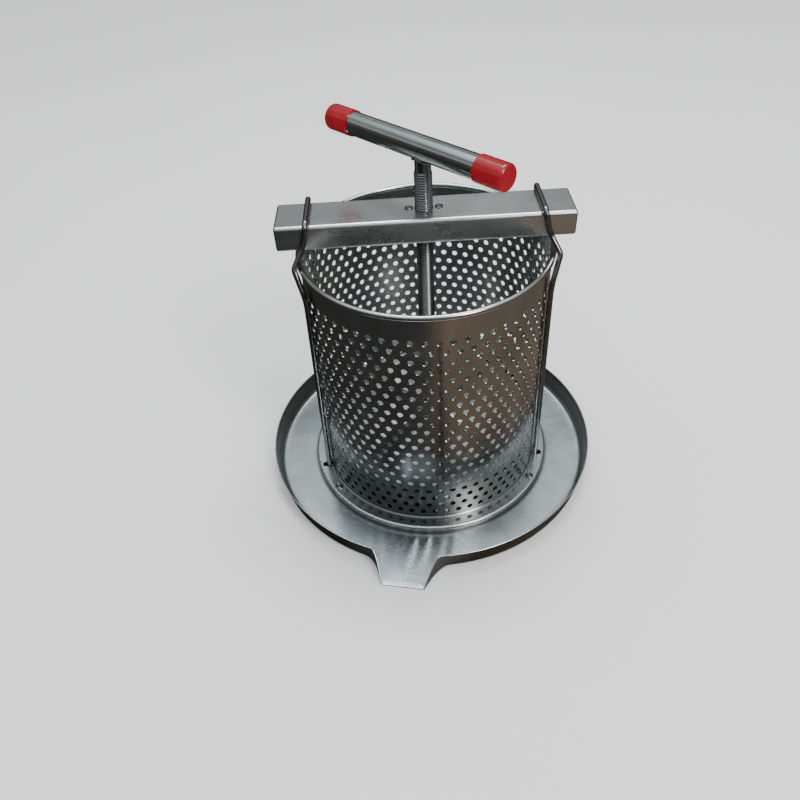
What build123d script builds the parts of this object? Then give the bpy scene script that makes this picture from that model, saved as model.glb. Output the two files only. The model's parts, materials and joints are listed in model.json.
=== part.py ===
from build123d import *

import os
from math import cos, radians, sin

os.makedirs("parts", exist_ok=True)

# A small basket wine press: a drip tray with a spout carries a raised disc, the disc carries
# a sheet-metal basket, and two wire bails hook under the disc and over a crossbar. The screw
# runs through a threaded block in the crossbar and pushes the pressing plate down the basket.
# Millimetres. Origin: centre of the tray's underside. +Z is up, -Y is the spout side,
# and the crossbar lies along X.

# ---- driving dimensions -------------------------------------------------------------------

RUNNING_GAP = 0.05          # radial clearance of a part that turns or slides in another
FIXED_GAP = 0.02            # radial clearance of a rivet or cap that is fixed in place

TRAY_BASE_RADIUS = 147.0
TRAY_RIM_RADIUS = 151.0
TRAY_HEIGHT = 21.0
TRAY_SHEET = 1.0
TRAY_CORNER_RADIUS = 4.0

SPOUT_AZIMUTH = -101.5      # degrees from +X, so the spout points 11.5 degrees left of the front
SPOUT_REACH = 168.5         # tray centre to the pouring edge
SPOUT_TIP_HALF_WIDTH = 18.2
SPOUT_NECK_HALF_WIDTH = 22.6
SPOUT_NECK_RADIUS = 158.0   # tray centre to where the straight flanks begin
SPOUT_ROOT_HALF_WIDTH = 44.0
SPOUT_ROOT_RADIUS = 139.5   # tray centre to where the flared root meets the tray wall
SPOUT_SHOULDER_RADIUS = 149.5   # tray centre to where the flank tops start to fall
SPOUT_LIP_HEIGHT = 1.8      # height of the flanks at the pouring edge

DISC_RADIUS = 112.0
DISC_TOP = 7.5
DISC_SHEET = 1.2
DISC_EDGE_RADIUS = 2.5

DISC_RIVET_CIRCLE = 105.5   # radius of the circle that the disc rivets lie on
DISC_RIVET_ANGLE = 33.0     # degrees from the X axis, mirrored to all four quarters
DISC_RIVET_RADIUS = 2.0
DISC_RIVET_HEAD_RADIUS = 3.6
DISC_RIVET_HEAD_HEIGHT = 0.9

BASKET_RADIUS = 99.5        # outside of the basket wall
BASKET_SHEET = 0.9
BASKET_HEM_RADIUS = 100.2
BASKET_HEM_HEIGHT = 1.2
RIM_RADIUS = 99.9           # centre of the rolled rim
RIM_HEIGHT = 225.0
RIM_CURL_RADIUS = 2.2
RIM_CURL_SLIT = (-62.0, -36.0)  # degrees, where the curled sheet stops short of the wall

BAR_LENGTH = 221.0          # tube only
BAR_WIDTH = 40.0
BAR_HEIGHT = 20.0
BAR_UNDERSIDE = 236.0
BAR_WALL = 1.5
BAR_CORNER_RADIUS = 3.0
BAR_END_THICKNESS = 3.0
BAR_END_EDGE_RADIUS = 2.0
BAR_SCREW_HOLE_RADIUS = 7.4

NUT_LENGTH = 36.0
NUT_WIDTH = 26.0
NUT_RIVET_SPACING = 11.5    # screw axis to each rivet
NUT_RIVET_RADIUS = 2.0
NUT_RIVET_HEAD_RADIUS = 3.3
NUT_RIVET_HEAD_HEIGHT = 1.1

WIRE_RADIUS = 2.25          # both bails
BAIL_FOOT_X = 98.8          # also the swing axis, which runs along Y
BAIL_FOOT_Y = 28.0
BAIL_FOOT_Z = 3.7
BAIL_HOOK_LENGTH = 14.0     # from the foot to the tip of the hook under the disc
BAIL_SHOULDER = (93.9, 41.0, 205.0)     # where each leg, spread round the basket, leaves its wall
BAIL_BULGE = (101.0, 30.2, 226.8)       # outermost bend, which clears the basket rim
BAIL_WAIST = (92.8, 22.6, 241.0)        # beside the crossbar
BAIL_TOP = (88.8, 22.6, 258.8)          # corner over the crossbar
BAIL_BENDS = (3.0, 25.0, 7.0, 14.0, 5.0)    # bend radii, from the hook to the top corner
SLOT_LENGTH = 9.0
SLOT_WIDTH = 6.0
SLOT_X = 100.4              # centre of each slot in the disc

SCREW_RADIUS = 6.95         # over the thread
THREAD_BOTTOM = 60.0
THREAD_TOP = 287.0
NECK_RADIUS = 6.18
JOURNAL_RADIUS = 6.0
JOURNAL_BOTTOM = 44.55
GROOVE_RADIUS = 4.4
GROOVE_BOTTOM = 50.2
GROOVE_HEIGHT = 3.6

HANDLE_HEIGHT = 302.5       # centre of the handle tube
HANDLE_AZIMUTH = -46.4      # degrees from +X to the right-hand end
HANDLE_OFFSET = -9.0        # tube centre from the screw axis, along the handle
HANDLE_LENGTH = 171.0
HANDLE_RADIUS = 9.0
HANDLE_WALL = 1.5
CAP_LENGTH = 25.0
CAP_WALL = 0.9
CAP_END_THICKNESS = 2.0
CAP_END_RADIUS = 3.0

PLATE_RADIUS = 96.5
PLATE_BOTTOM = 38.0
PLATE_THICKNESS = 3.0
RIB_THICKNESS = 3.0
RIB_INNER_RADIUS = 25.0
RIB_OUTER_RADIUS = 88.0
RIB_INNER_HEIGHT = 14.0
RIB_OUTER_HEIGHT = 5.0

SOCKET_FLANGE_RADIUS = 24.0
SOCKET_FLANGE_THICKNESS = 4.0
SOCKET_RADIUS = 15.0
SOCKET_HEIGHT = 18.0
SOCKET_FLOOR = 2.0
WASHER_RADIUS = 5.8
WASHER_THICKNESS = 1.5
PIN_RADIUS = 1.5
PIN_LENGTH = 27.0
PIN_OFFSET = 6.0            # screw axis to the axis of each retaining pin
SOCKET_RIVET_CIRCLE = 19.5
SOCKET_RIVET_RADIUS = 2.0
SOCKET_RIVET_HEAD_RADIUS = 3.5
SOCKET_RIVET_HEAD_HEIGHT = 1.6

QUARTERS = ((1, 1), (-1, 1), (-1, -1), (1, -1))


# ---- helpers ------------------------------------------------------------------------------

def post(radius, bottom, top, x=0.0, y=0.0):
    """Upright cylinder between two heights."""
    return Pos(x, y, (bottom + top) / 2) * Cylinder(radius, top - bottom)


def block(length, width, bottom, top):
    """Upright box centred on the Z axis."""
    return Pos(0, 0, (bottom + top) / 2) * Box(length, width, top - bottom)


def turned(points):
    """Solid of revolution about Z from a closed outline of (radius, height) points."""
    outline = make_face(Polyline(*[(r, 0, z) for r, z in points], close=True))
    return revolve(outline, Axis.Z)


def circle_edges(solid, height):
    """Circular edges of a solid at one height."""
    return [edge for edge in solid.edges().filter_by(GeomType.CIRCLE) if abs(edge.center().Z - height) < 0.01]


def rivet(x, y, bottom, seat, radius, head_radius, head_height):
    """Dome-headed rivet whose head sits on the height 'seat'."""
    head = post(head_radius, seat, seat + head_height, x, y)
    head = fillet(circle_edges(head, seat + head_height), 0.8 * head_height)
    return head + post(radius - FIXED_GAP, bottom, seat + head_height / 2, x, y)


def disc_rivet_places():
    """Four places of the rivets between the raised disc and the tray."""
    x = DISC_RIVET_CIRCLE * cos(radians(DISC_RIVET_ANGLE))
    y = DISC_RIVET_CIRCLE * sin(radians(DISC_RIVET_ANGLE))
    return [(i * x, j * y) for i, j in QUARTERS]


# ---- drip tray ----------------------------------------------------------------------------

def dish(inset, bottom, top, corner):
    """Solid dish with a flared wall, inset from the outside of the tray."""
    flare = (TRAY_RIM_RADIUS - TRAY_BASE_RADIUS) / TRAY_HEIGHT
    low = TRAY_BASE_RADIUS + flare * bottom - inset
    high = TRAY_BASE_RADIUS + flare * top - inset
    body = turned([(0, bottom), (low, bottom), (high, top), (0, top)])
    return fillet(circle_edges(body, bottom), corner)


def spout_plan(inset, reach):
    """Plan of the spout: flared root, straight flanks and a straight pouring edge along +Y."""
    tip = (SPOUT_TIP_HALF_WIDTH - inset, reach)
    neck = (SPOUT_NECK_HALF_WIDTH - inset, SPOUT_NECK_RADIUS)
    root = (SPOUT_ROOT_HALF_WIDTH - inset, SPOUT_ROOT_RADIUS)
    flank = (SPOUT_NECK_HALF_WIDTH - SPOUT_TIP_HALF_WIDTH, SPOUT_NECK_RADIUS - SPOUT_REACH)
    half = Polyline((0, reach), tip, neck) + TangentArc(neck, root, tangent=flank)
    half += Polyline(root, (root[0], SPOUT_ROOT_RADIUS / 2), (0, SPOUT_ROOT_RADIUS / 2), (0, reach))
    face = make_face(half.edges())
    return face + mirror(face, Plane.YZ)


def spout_blank():
    """Solid spout whose flanks fall from the tray rim to the pouring edge."""
    side = make_face(Polyline(
        (0, SPOUT_ROOT_RADIUS / 2, 0),
        (0, SPOUT_REACH, 0),
        (0, SPOUT_REACH, SPOUT_LIP_HEIGHT),
        (0, SPOUT_SHOULDER_RADIUS, TRAY_HEIGHT),
        (0, SPOUT_ROOT_RADIUS / 2, TRAY_HEIGHT),
        close=True,
    ))
    wedge = extrude(side, amount=2 * SPOUT_ROOT_HALF_WIDTH, both=True)
    return wedge & extrude(spout_plan(0, SPOUT_REACH), amount=TRAY_HEIGHT)


def make_tray():
    """One-piece tray: flat floor, flared wall and an open spout, with the disc's rivet holes."""
    turn = Rot(0, 0, SPOUT_AZIMUTH - 90)
    headroom = 5.0
    outside = dish(0, 0, TRAY_HEIGHT, TRAY_CORNER_RADIUS) + turn * spout_blank()
    hollow = dish(TRAY_SHEET, TRAY_SHEET, TRAY_HEIGHT + headroom, TRAY_CORNER_RADIUS - TRAY_SHEET)
    channel = extrude(spout_plan(TRAY_SHEET, SPOUT_REACH + headroom), amount=TRAY_HEIGHT + headroom)
    tray = outside - hollow - turn * Pos(0, 0, TRAY_SHEET) * channel
    for x, y in disc_rivet_places():
        tray -= post(DISC_RIVET_RADIUS, -1, TRAY_SHEET + 1, x, y)
    return tray


# ---- raised disc and its rivets -----------------------------------------------------------

def make_base_disc():
    """Pressed disc with a turned-down skirt that stands on the tray floor."""
    body = post(DISC_RADIUS, TRAY_SHEET, DISC_TOP)
    body = fillet(circle_edges(body, DISC_TOP), DISC_EDGE_RADIUS)
    hollow = post(DISC_RADIUS - DISC_SHEET, TRAY_SHEET, DISC_TOP - DISC_SHEET)
    hollow = fillet(circle_edges(hollow, DISC_TOP - DISC_SHEET), DISC_EDGE_RADIUS - DISC_SHEET)
    disc = body - hollow
    slot = extrude(SlotOverall(SLOT_LENGTH, SLOT_WIDTH), amount=2 * DISC_TOP)
    for i, j in QUARTERS:
        disc -= Pos(i * SLOT_X, j * BAIL_FOOT_Y, 0) * slot
    for x, y in disc_rivet_places():
        disc -= post(DISC_RIVET_RADIUS, 0, DISC_TOP + 1, x, y)
    return disc


def make_disc_rivets():
    """Four rivets that clamp the raised disc to the tray."""
    return [
        rivet(x, y, 0, DISC_TOP, DISC_RIVET_RADIUS, DISC_RIVET_HEAD_RADIUS, DISC_RIVET_HEAD_HEIGHT)
        for x, y in disc_rivet_places()
    ]


# ---- basket -------------------------------------------------------------------------------

def make_basket_shell():
    """Rolled sheet cylinder with a turned-out hem at the foot and a curled rim."""
    inner = BASKET_RADIUS - BASKET_SHEET
    curl_bottom = RIM_HEIGHT - 0.8 * RIM_CURL_RADIUS
    wall = turned([(inner, DISC_TOP), (BASKET_RADIUS, DISC_TOP), (BASKET_RADIUS, curl_bottom), (inner, curl_bottom)])
    hem_top = DISC_TOP + BASKET_HEM_HEIGHT
    hem = turned([(inner, DISC_TOP), (BASKET_HEM_RADIUS, DISC_TOP), (BASKET_HEM_RADIUS, hem_top), (inner, hem_top)])
    section = Circle(RIM_CURL_RADIUS) - Circle(RIM_CURL_RADIUS - BASKET_SHEET)
    slit = Polygon(
        (0, 0),
        *[(2 * RIM_CURL_RADIUS * cos(radians(a)), 2 * RIM_CURL_RADIUS * sin(radians(a))) for a in RIM_CURL_SLIT],
        align=None,
    )
    curl = Plane.XZ * (Pos(RIM_RADIUS, RIM_HEIGHT) * (section - slit))
    return wall + hem + revolve(curl, Axis.Z)


def make_rim_wire():
    """Hoop of wire that the rim is curled round."""
    return Pos(0, 0, RIM_HEIGHT) * Torus(RIM_RADIUS, RIM_CURL_RADIUS - BASKET_SHEET - RUNNING_GAP)


# ---- wire bails ---------------------------------------------------------------------------

def make_bail(side):
    """Bent wire: hooks under the disc, up the basket, out round its rim and over the crossbar."""
    hook = (BAIL_FOOT_X, BAIL_FOOT_Y - BAIL_HOOK_LENGTH, BAIL_FOOT_Z)
    foot = (BAIL_FOOT_X, BAIL_FOOT_Y, BAIL_FOOT_Z)
    half = [(side * x, y, z) for x, y, z in (hook, foot, BAIL_SHOULDER, BAIL_BULGE, BAIL_WAIST, BAIL_TOP)]
    points = [(x, -y, z) for x, y, z in half] + half[::-1]
    path = FilletPolyline(*points, radius=list(BAIL_BENDS + BAIL_BENDS[::-1]))
    section = Plane(origin=path @ 0, z_dir=path % 0) * Circle(WIRE_RADIUS)
    return sweep(section, path=path)


# ---- crossbar -----------------------------------------------------------------------------

def make_crossbar():
    """Rectangular tube with clearance holes for the screw and for the block's rivets."""
    top = BAR_UNDERSIDE + BAR_HEIGHT
    tube = block(BAR_LENGTH, BAR_WIDTH, BAR_UNDERSIDE, top)
    tube = fillet(tube.edges().filter_by(Axis.X), BAR_CORNER_RADIUS)
    hollow = block(BAR_LENGTH + 2, BAR_WIDTH - 2 * BAR_WALL, BAR_UNDERSIDE + BAR_WALL, top - BAR_WALL)
    tube -= fillet(hollow.edges().filter_by(Axis.X), BAR_CORNER_RADIUS - BAR_WALL)
    tube -= post(BAR_SCREW_HOLE_RADIUS, BAR_UNDERSIDE - 1, top + 1)
    for side in (-1, 1):
        tube -= post(NUT_RIVET_RADIUS, BAR_UNDERSIDE - 1, top + 1, side * NUT_RIVET_SPACING)
    return tube


def make_bar_end(side):
    """Plate that closes one end of the crossbar, with rounded edges."""
    plate = block(BAR_END_THICKNESS, BAR_WIDTH, BAR_UNDERSIDE, BAR_UNDERSIDE + BAR_HEIGHT)
    plate = fillet(plate.edges().filter_by(Axis.X), BAR_CORNER_RADIUS)
    plate = fillet(plate.faces().sort_by(Axis.X)[-1].edges(), BAR_END_EDGE_RADIUS)
    plate = Pos((BAR_LENGTH + BAR_END_THICKNESS) / 2, 0, 0) * plate
    return plate if side > 0 else mirror(plate, Plane.YZ)


def make_screw_nut():
    """Threaded block inside the crossbar; its bore stands for the thread's envelope."""
    bottom = BAR_UNDERSIDE + BAR_WALL
    top = BAR_UNDERSIDE + BAR_HEIGHT - BAR_WALL
    nut = block(NUT_LENGTH, NUT_WIDTH, bottom, top) - post(SCREW_RADIUS + RUNNING_GAP, bottom - 1, top + 1)
    for side in (-1, 1):
        nut -= post(NUT_RIVET_RADIUS, bottom - 1, top + 1, side * NUT_RIVET_SPACING)
    return nut


def make_nut_rivets():
    """Two rivets, headed above and below, that fix the threaded block in the crossbar."""
    top = BAR_UNDERSIDE + BAR_HEIGHT
    rivets = []
    for side in (-1, 1):
        x = side * NUT_RIVET_SPACING
        body = rivet(x, 0, BAR_UNDERSIDE, top, NUT_RIVET_RADIUS, NUT_RIVET_HEAD_RADIUS, NUT_RIVET_HEAD_HEIGHT)
        body += post(NUT_RIVET_HEAD_RADIUS, BAR_UNDERSIDE - NUT_RIVET_HEAD_HEIGHT, BAR_UNDERSIDE, x)
        rivets.append(body)
    return rivets


# ---- screw and handle ---------------------------------------------------------------------

def make_screw():
    """Screw with a grooved journal at the foot and a plain neck at the top."""
    journal = chamfer(circle_edges(post(JOURNAL_RADIUS, JOURNAL_BOTTOM, THREAD_BOTTOM), JOURNAL_BOTTOM), 0.8)
    groove = post(2 * JOURNAL_RADIUS, GROOVE_BOTTOM, GROOVE_BOTTOM + GROOVE_HEIGHT)
    groove -= post(GROOVE_RADIUS, GROOVE_BOTTOM - 1, GROOVE_BOTTOM + GROOVE_HEIGHT + 1)
    thread = post(SCREW_RADIUS, THREAD_BOTTOM, THREAD_TOP)
    thread = chamfer(circle_edges(thread, THREAD_BOTTOM) + circle_edges(thread, THREAD_TOP), 0.7)
    neck = post(NECK_RADIUS, THREAD_TOP, HANDLE_HEIGHT + HANDLE_RADIUS / 3)
    return journal - groove + thread + neck


def on_handle(solid):
    """Moves a solid drawn upright about Z onto the handle's axis, its +Z end to the right."""
    return Pos(0, 0, HANDLE_HEIGHT) * Rot(0, 0, HANDLE_AZIMUTH) * Pos(HANDLE_OFFSET, 0, 0) * Rot(0, 90, 0) * solid


def make_handle_tube():
    """Straight tube with a hole in its underside for the screw's neck."""
    tube = Cylinder(HANDLE_RADIUS, HANDLE_LENGTH) - Cylinder(HANDLE_RADIUS - HANDLE_WALL, HANDLE_LENGTH + 2)
    return on_handle(tube) - post(NECK_RADIUS + FIXED_GAP, THREAD_TOP, HANDLE_HEIGHT)


def make_handle_cap(side):
    """Push-on cap with a rounded closed end."""
    end = HANDLE_LENGTH / 2 + CAP_END_THICKNESS
    bore = HANDLE_RADIUS + FIXED_GAP
    cap = fillet(circle_edges(post(bore + CAP_WALL, end - CAP_LENGTH, end), end), CAP_END_RADIUS)
    cap -= post(bore, end - CAP_LENGTH - 1, HANDLE_LENGTH / 2)
    return on_handle(cap if side > 0 else mirror(cap, Plane.XY))


# ---- pressing plate -----------------------------------------------------------------------

PLATE_TOP = PLATE_BOTTOM + PLATE_THICKNESS


def socket_rivet_places():
    """Four places of the rivets in the socket's flange, between the ribs."""
    return [(SOCKET_RIVET_CIRCLE, 0), (0, SOCKET_RIVET_CIRCLE), (-SOCKET_RIVET_CIRCLE, 0), (0, -SOCKET_RIVET_CIRCLE)]


def make_press_plate():
    """Round plate that fits inside the basket."""
    plate = post(PLATE_RADIUS, PLATE_BOTTOM, PLATE_TOP)
    plate = fillet(circle_edges(plate, PLATE_BOTTOM) + circle_edges(plate, PLATE_TOP), 0.8)
    for x, y in socket_rivet_places():
        plate -= post(SOCKET_RIVET_RADIUS, PLATE_BOTTOM - 1, PLATE_TOP + 1, x, y)
    return plate


def make_plate_ribs():
    """Four tapered ribs on top of the plate."""
    outline = make_face(Polyline(
        (RIB_INNER_RADIUS, 0, PLATE_TOP),
        (RIB_OUTER_RADIUS, 0, PLATE_TOP),
        (RIB_OUTER_RADIUS, 0, PLATE_TOP + RIB_OUTER_HEIGHT),
        (RIB_INNER_RADIUS, 0, PLATE_TOP + RIB_INNER_HEIGHT),
        close=True,
    ))
    rib = extrude(outline, amount=RIB_THICKNESS / 2, both=True)
    return [Rot(0, 0, angle) * rib for angle in range(45, 360, 90)]


def pin_height():
    """Height of the retaining pins, in the middle of the journal's groove."""
    return GROOVE_BOTTOM + GROOVE_HEIGHT / 2


def retaining_pin(side, radius, length):
    """Pin along X that passes beside the screw, through its groove."""
    return Pos(0, side * PIN_OFFSET, pin_height()) * Rot(0, 90, 0) * Cylinder(radius, length)


def make_swivel_socket():
    """Flanged socket that the screw's journal turns in."""
    top = PLATE_TOP + SOCKET_HEIGHT
    socket = post(SOCKET_FLANGE_RADIUS, PLATE_TOP, PLATE_TOP + SOCKET_FLANGE_THICKNESS)
    socket += post(SOCKET_RADIUS, PLATE_TOP, top)
    socket = chamfer(circle_edges(socket, top), 1.2)
    socket -= post(JOURNAL_RADIUS + RUNNING_GAP, PLATE_TOP + SOCKET_FLOOR, top + 1)
    for side in (-1, 1):
        socket -= retaining_pin(side, PIN_RADIUS, 3 * SOCKET_RADIUS)
    for x, y in socket_rivet_places():
        socket -= post(SOCKET_RIVET_RADIUS, PLATE_BOTTOM, PLATE_TOP + SOCKET_FLANGE_THICKNESS + 1, x, y)
    return socket


def make_socket_rivets():
    """Four rivets through the socket's flange and the plate."""
    seat = PLATE_TOP + SOCKET_FLANGE_THICKNESS
    return [
        rivet(x, y, PLATE_BOTTOM, seat, SOCKET_RIVET_RADIUS, SOCKET_RIVET_HEAD_RADIUS, SOCKET_RIVET_HEAD_HEIGHT)
        for x, y in socket_rivet_places()
    ]


def make_swivel_pins():
    """Two pins that keep the journal in the socket and still let it turn."""
    return [retaining_pin(side, PIN_RADIUS - FIXED_GAP, PIN_LENGTH) for side in (-1, 1)]


def make_thrust_washer():
    """Bronze disc at the bottom of the socket, which takes the screw's push."""
    bottom = PLATE_TOP + SOCKET_FLOOR
    return post(WASHER_RADIUS, bottom, bottom + WASHER_THICKNESS)


# ---- write every piece --------------------------------------------------------------------

NODES = {
    "tray": make_tray(),
    "base_disc": make_base_disc(),
    "disc_rivets": make_disc_rivets(),
    "basket_shell": make_basket_shell(),
    "rim_wire": make_rim_wire(),
    "crossbar": make_crossbar(),
    "bar_end_left": make_bar_end(-1),
    "bar_end_right": make_bar_end(1),
    "screw_nut": make_screw_nut(),
    "nut_rivets": make_nut_rivets(),
    "bail_left": make_bail(-1),
    "bail_right": make_bail(1),
    "press_plate": make_press_plate(),
    "plate_ribs": make_plate_ribs(),
    "swivel_socket": make_swivel_socket(),
    "socket_rivets": make_socket_rivets(),
    "swivel_pins": make_swivel_pins(),
    "thrust_washer": make_thrust_washer(),
    "screw": make_screw(),
    "handle_tube": make_handle_tube(),
    "handle_cap_left": make_handle_cap(-1),
    "handle_cap_right": make_handle_cap(1),
}

for name, shape in NODES.items():
    pieces = shape if isinstance(shape, list) else [shape]
    solids = [solid for piece in pieces for solid in piece.solids()]
    export_step(solids[0] if len(solids) == 1 else Compound(solids), f"parts/{name}.step")
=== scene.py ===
import json
import math
from math import cos, pi, radians, sin

import bmesh
import bpy
from mathutils import Matrix, Vector


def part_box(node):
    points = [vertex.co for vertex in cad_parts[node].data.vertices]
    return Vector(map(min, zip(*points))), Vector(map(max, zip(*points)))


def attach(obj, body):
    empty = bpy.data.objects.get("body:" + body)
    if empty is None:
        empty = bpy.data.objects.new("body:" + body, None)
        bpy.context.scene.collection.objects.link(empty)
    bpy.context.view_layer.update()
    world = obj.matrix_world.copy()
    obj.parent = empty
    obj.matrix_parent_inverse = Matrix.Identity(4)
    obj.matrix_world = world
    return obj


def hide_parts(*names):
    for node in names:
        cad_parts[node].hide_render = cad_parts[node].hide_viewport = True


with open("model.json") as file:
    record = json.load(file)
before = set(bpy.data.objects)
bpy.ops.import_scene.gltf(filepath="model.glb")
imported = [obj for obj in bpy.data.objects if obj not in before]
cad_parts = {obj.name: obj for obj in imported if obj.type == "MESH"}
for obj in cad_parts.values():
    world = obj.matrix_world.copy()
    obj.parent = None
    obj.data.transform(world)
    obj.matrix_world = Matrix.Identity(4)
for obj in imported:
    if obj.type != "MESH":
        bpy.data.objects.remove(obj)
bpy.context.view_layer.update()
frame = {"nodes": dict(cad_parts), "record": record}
MM = 0.001


# ---- sizes read from the frame -------------------------------------------------------------

TRAY_LOW, TRAY_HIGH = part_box("tray")
DISC_LOW, DISC_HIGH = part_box("base_disc")
BASKET_LOW, BASKET_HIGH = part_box("basket_shell")
BAR_LOW, BAR_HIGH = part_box("crossbar")
SCREW_LOW, SCREW_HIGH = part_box("screw")
TRAY_HEIGHT = TRAY_HIGH.z
TRAY_RIM_RADIUS = TRAY_HIGH.x
CURL_RADIUS = 2.2 * MM
RIM_CENTRE_RADIUS = BASKET_HIGH.x - CURL_RADIUS
RIM_CENTRE_HEIGHT = BASKET_HIGH.z - CURL_RADIUS
WALL_OUTER = RIM_CENTRE_RADIUS - 0.4 * MM
SHEET = 0.9 * MM
WALL_INNER = WALL_OUTER - SHEET
SPOUT_AZIMUTH = radians(-101.5)
SEAM_AZIMUTH = radians(-87.5)
WELD_PITCH = 22 * MM


# ---- mesh helpers --------------------------------------------------------------------------

MERGE = 1e-6      # points nearer than this are one point
CRISP = 34        # edges sharper than this many degrees stay crisp on turned pieces

def new_mesh(name, verts, faces, smooth_angle=None):
    """Mesh object from lists of points and faces, with outward normals."""
    mesh = bpy.data.meshes.new(name)
    mesh.from_pydata([tuple(v) for v in verts], [], faces)
    obj = bpy.data.objects.new(name, mesh)
    bpy.context.scene.collection.objects.link(obj)
    bm = bmesh.new()
    bm.from_mesh(mesh)
    bmesh.ops.remove_doubles(bm, verts=bm.verts, dist=MERGE)
    bmesh.ops.dissolve_degenerate(bm, edges=bm.edges, dist=MERGE)
    bmesh.ops.recalc_face_normals(bm, faces=bm.faces)
    bm.to_mesh(mesh)
    bm.free()
    shade(obj, smooth_angle)
    return obj


def shade(obj, smooth_angle):
    """Smooth shading with edges sharper than the angle kept crisp."""
    mesh = obj.data
    mesh.polygons.foreach_set("use_smooth", [True] * len(mesh.polygons))
    if smooth_angle is None:
        return
    bm = bmesh.new()
    bm.from_mesh(mesh)
    for edge in bm.edges:
        if len(edge.link_faces) == 2:
            edge.smooth = edge.calc_face_angle(0) < radians(smooth_angle)
    bm.to_mesh(mesh)
    bm.free()


def lathe(name, profile, segments):
    """Solid made by turning a list of (radius, height) points, which starts and ends on Z."""
    verts, faces = [], []
    count = len(profile)
    for i in range(segments):
        a = 2 * pi * i / segments
        verts += [(r * cos(a), r * sin(a), z) for r, z in profile]
    for i in range(segments):
        nxt = (i + 1) % segments
        for j in range(count - 1):
            faces.append((i * count + j, nxt * count + j, nxt * count + j + 1, i * count + j + 1))
    return new_mesh(name, verts, faces, CRISP)


def joined(name, pieces, smooth_angle):
    """Joins meshes into one object."""
    bm = bmesh.new()
    for piece in pieces:
        bm.from_mesh(piece.data)
        bpy.data.objects.remove(piece)
    mesh = bpy.data.meshes.new(name)
    bm.to_mesh(mesh)
    bm.free()
    obj = bpy.data.objects.new(name, mesh)
    bpy.context.scene.collection.objects.link(obj)
    shade(obj, smooth_angle)
    return obj


# ---- material helpers ----------------------------------------------------------------------

SOCKETS = {
    "colour": "Base Color", "metallic": "Metallic", "roughness": "Roughness", "normal": "Normal",
    "coat": "Coat Weight", "coat_roughness": "Coat Roughness",
    "ior": "IOR", "specular": "Specular IOR Level",
}


class Graph:
    """Small wrapper that builds one node material."""

    def __init__(self, name):
        self.material = bpy.data.materials.new(name)
        self.material.use_nodes = True
        self.tree = self.material.node_tree
        self.tree.nodes.clear()
        self.output = self.tree.nodes.new("ShaderNodeOutputMaterial")
        self.shader = self.tree.nodes.new("ShaderNodeBsdfPrincipled")
        self.link(self.shader.outputs[0], self.output.inputs["Surface"])

    def link(self, source, target):
        self.tree.links.new(source, target)

    def node(self, kind, inputs=None, **settings):
        made = self.tree.nodes.new(kind)
        for key, value in settings.items():
            setattr(made, key, value)
        for key, value in (inputs or {}).items():
            if isinstance(value, bpy.types.NodeSocket):
                self.link(value, made.inputs[key])
            else:
                made.inputs[key].default_value = value
        return made

    def set(self, **inputs):
        """Sets or links the shader's sockets."""
        for key, value in inputs.items():
            socket = self.shader.inputs[SOCKETS[key]]
            if isinstance(value, bpy.types.NodeSocket):
                self.link(value, socket)
            else:
                socket.default_value = value

    def place(self):
        """Object coordinates."""
        return self.node("ShaderNodeTexCoord").outputs["Object"]

    def axes(self):
        """Object x, y and z as three values."""
        return self.node("ShaderNodeSeparateXYZ", {0: self.place()}).outputs

    def angle(self):
        """Angle round Z."""
        x, y, _ = self.axes()
        return self.math("ARCTAN2", y, x)

    def reach(self):
        """Distance from Z."""
        x, y, _ = self.axes()
        squares = self.math("ADD", self.math("MULTIPLY", x, x), self.math("MULTIPLY", y, y))
        return self.math("SQRT", squares)

    def round_place(self):
        """Coordinates unrolled round Z: x along the basket wall's arc, y up."""
        arc = self.math("MULTIPLY", self.angle(), WALL_OUTER)
        return self.node("ShaderNodeCombineXYZ", {0: arc, 1: self.axes()[2]}).outputs[0]

    def polar_place(self):
        """Coordinates for turned grain: x is the distance from Z, y the arc, z up."""
        arc = self.math("MULTIPLY", self.angle(), WALL_OUTER)
        return self.node("ShaderNodeCombineXYZ", {0: self.reach(), 1: arc, 2: self.axes()[2]}).outputs[0]

    def math(self, operation, a, b=0.0):
        return self.node("ShaderNodeMath", {0: a, 1: b}, operation=operation).outputs[0]

    def stretch(self, vector, scale):
        return self.node("ShaderNodeMapping", {"Vector": vector, "Scale": scale}).outputs[0]

    def noise(self, vector, scale, detail=3.0, roughness=0.55):
        return self.node("ShaderNodeTexNoise", {"Vector": vector, "Scale": scale, "Detail": detail,
                                                "Roughness": roughness}).outputs[0]

    def remap(self, value, low, high, to_low, to_high, smooth=False):
        """Maps low..high onto to_low..to_high, and holds the ends."""
        kind = "SMOOTHSTEP" if smooth else "LINEAR"
        return self.node("ShaderNodeMapRange", {0: value, 1: low, 2: high, 3: to_low, 4: to_high},
                         interpolation_type=kind).outputs[0]

    def mix(self, factor, first, second):
        made = self.node("ShaderNodeMix", data_type="RGBA")
        for index, value in ((0, factor), (6, first), (7, second)):
            if isinstance(value, bpy.types.NodeSocket):
                self.link(value, made.inputs[index])
            else:
                made.inputs[index].default_value = value if index == 0 else (*value, 1.0)
        return made.outputs[2]

    def bump(self, height, strength, distance):
        inputs = {"Height": height, "Strength": strength, "Distance": distance}
        return self.node("ShaderNodeBump", inputs).outputs[0]


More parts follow.
